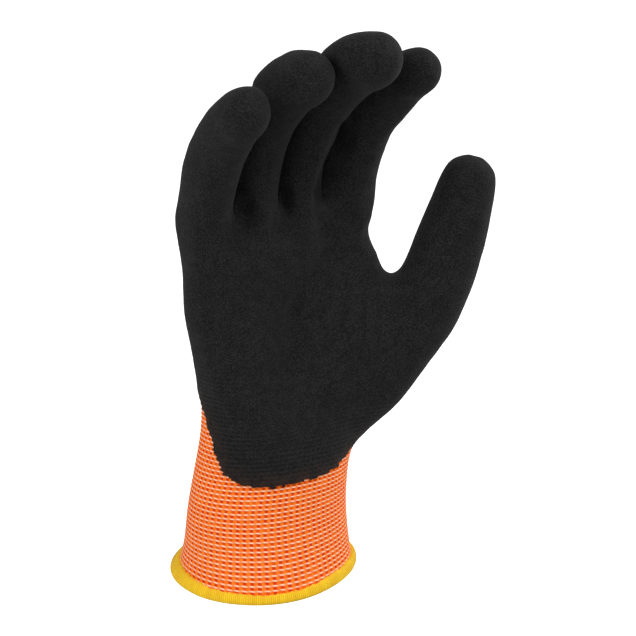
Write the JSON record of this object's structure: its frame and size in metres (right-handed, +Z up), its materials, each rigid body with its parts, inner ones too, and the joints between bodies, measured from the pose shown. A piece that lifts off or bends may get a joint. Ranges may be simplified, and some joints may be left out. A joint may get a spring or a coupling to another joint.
{
  "type": "nitrile-coated work glove",
  "caption": "Right-hand knitted work glove, fingers curled, with a dark nitrile dip over palm, fingers and knuckles, a bright knit cuff and an overlocked hem.",
  "frame": {"origin": "centre of the wrist opening, level with the knitted cuff's edge", "axes": "+Z up the hand from the wrist opening to the fingertips, -Y out of the palm, +X to the thumb's side"},
  "size_m": [0.1361, 0.098, 0.2347],
  "materials": {
    "knit": "orange and white plated knit, matte",
    "nitrile": "sandy black nitrile, matte",
    "hem_thread": "yellow overlock thread, matte"
  },
  "bodies": {
    "root": {"knit_liner": "knit", "nitrile_coating": "nitrile", "cuff_hem": "hem_thread"}
  },
  "joints": []
}
